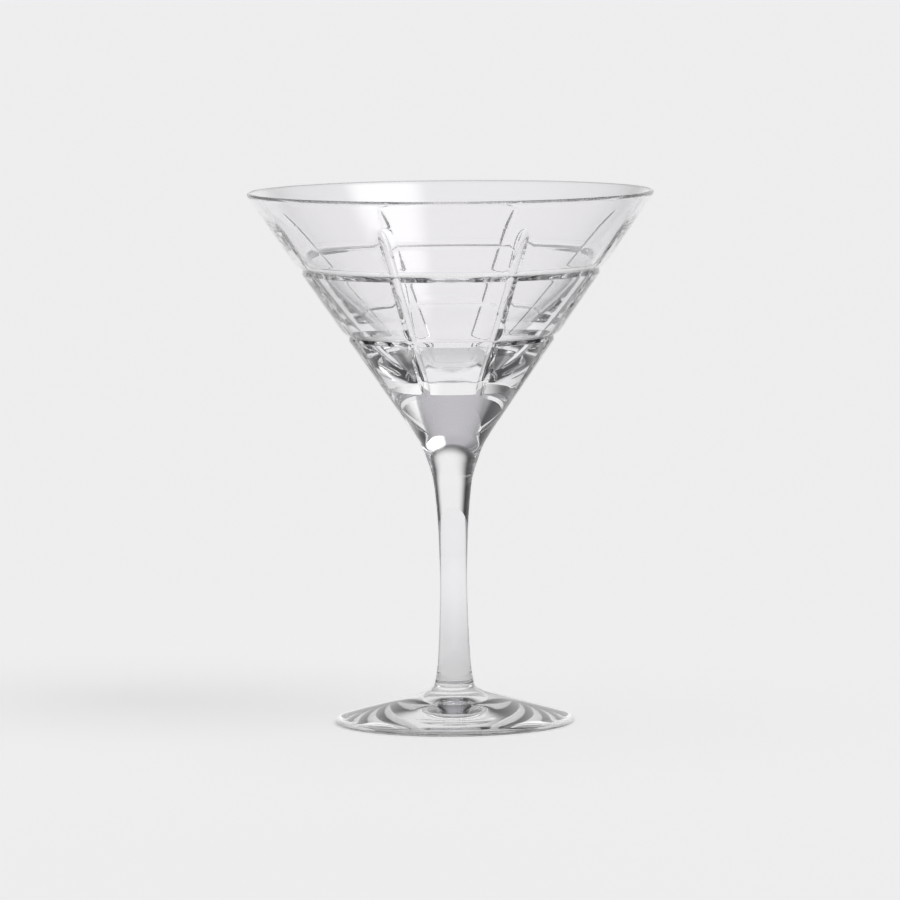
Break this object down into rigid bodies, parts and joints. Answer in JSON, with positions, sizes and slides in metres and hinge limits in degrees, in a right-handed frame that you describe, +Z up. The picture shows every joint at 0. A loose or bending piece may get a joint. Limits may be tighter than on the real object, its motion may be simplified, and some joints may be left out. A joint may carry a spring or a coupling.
{
  "type": "martini glass",
  "caption": "Stemmed cocktail glass: wide conical cut-crystal bowl with upright flute cuts crossing ring cuts, waisted solid stem and low conical foot.",
  "frame": {"origin": "on the table plane, under the middle of the foot", "axes": "+Z up along the stem's axis to the rim; -Y towards the front, where two upright cuts flank the middle; +X to the right"},
  "size_m": [0.1326, 0.1326, 0.174],
  "materials": {
    "bowl_crystal": "clear, polished, with polished upright and ring cuts",
    "stem_crystal": "clear, fire-polished",
    "foot_crystal": "clear, fire-polished, with a ground and polished resting ring"
  },
  "bodies": {
    "root": {"bowl": "bowl_crystal", "stem": "stem_crystal", "foot": "foot_crystal"}
  },
  "joints": []
}
